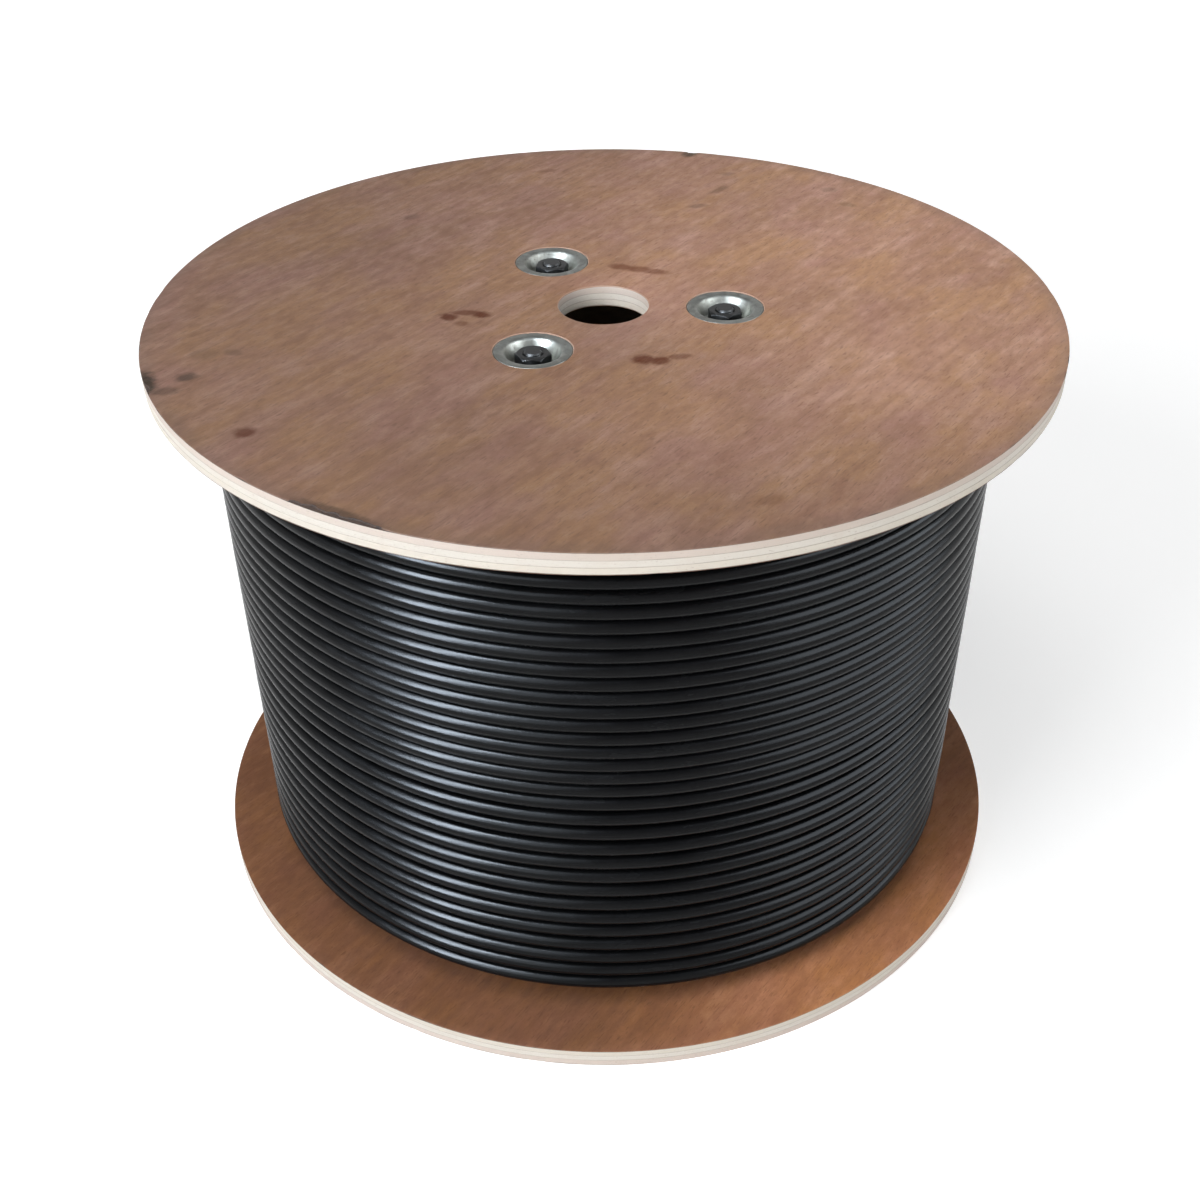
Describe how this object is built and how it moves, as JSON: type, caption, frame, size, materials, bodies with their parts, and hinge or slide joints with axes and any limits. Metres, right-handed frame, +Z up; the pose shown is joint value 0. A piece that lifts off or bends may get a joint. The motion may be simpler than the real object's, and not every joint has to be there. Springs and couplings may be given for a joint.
{
  "type": "wooden cable drum",
  "caption": "Plywood cable drum on its end: round flanges tied by rods across a hidden barrel, wound full with black cable, with an arbor bore through its axis.",
  "frame": {"origin": "centre of the lower flange's underside, on the drum's axis", "axes": "+Z up along the drum's axis, +X through the tie rod that the picture shows on the right"},
  "size_m": [0.4999, 0.5, 0.342],
  "materials": {
    "plywood": "bare reddish-brown face veneer with a pale sawn edge, dull",
    "barrel_board": "spiral-wound board tube, matte",
    "cable_jacket": "black extruded jacket, satin sheen",
    "zinc_steel": "zinc-plated pressed sheet, dulled",
    "rod_steel": "zinc-plated steel gone dark"
  },
  "bodies": {
    "root": {"lower_flange": "plywood", "upper_flange": "plywood", "barrel": "barrel_board", "cable_winding": "cable_jacket", "tie_rod_1": "rod_steel", "tie_rod_2": "rod_steel", "tie_rod_3": "rod_steel", "lower_cup_washer_1": "zinc_steel", "lower_cup_washer_2": "zinc_steel", "lower_cup_washer_3": "zinc_steel", "upper_cup_washer_1": "zinc_steel", "upper_cup_washer_2": "zinc_steel", "upper_cup_washer_3": "zinc_steel", "lower_nut_1": "rod_steel", "lower_nut_2": "rod_steel", "lower_nut_3": "rod_steel", "upper_nut_1": "rod_steel", "upper_nut_2": "rod_steel", "upper_nut_3": "rod_steel"}
  },
  "joints": []
}
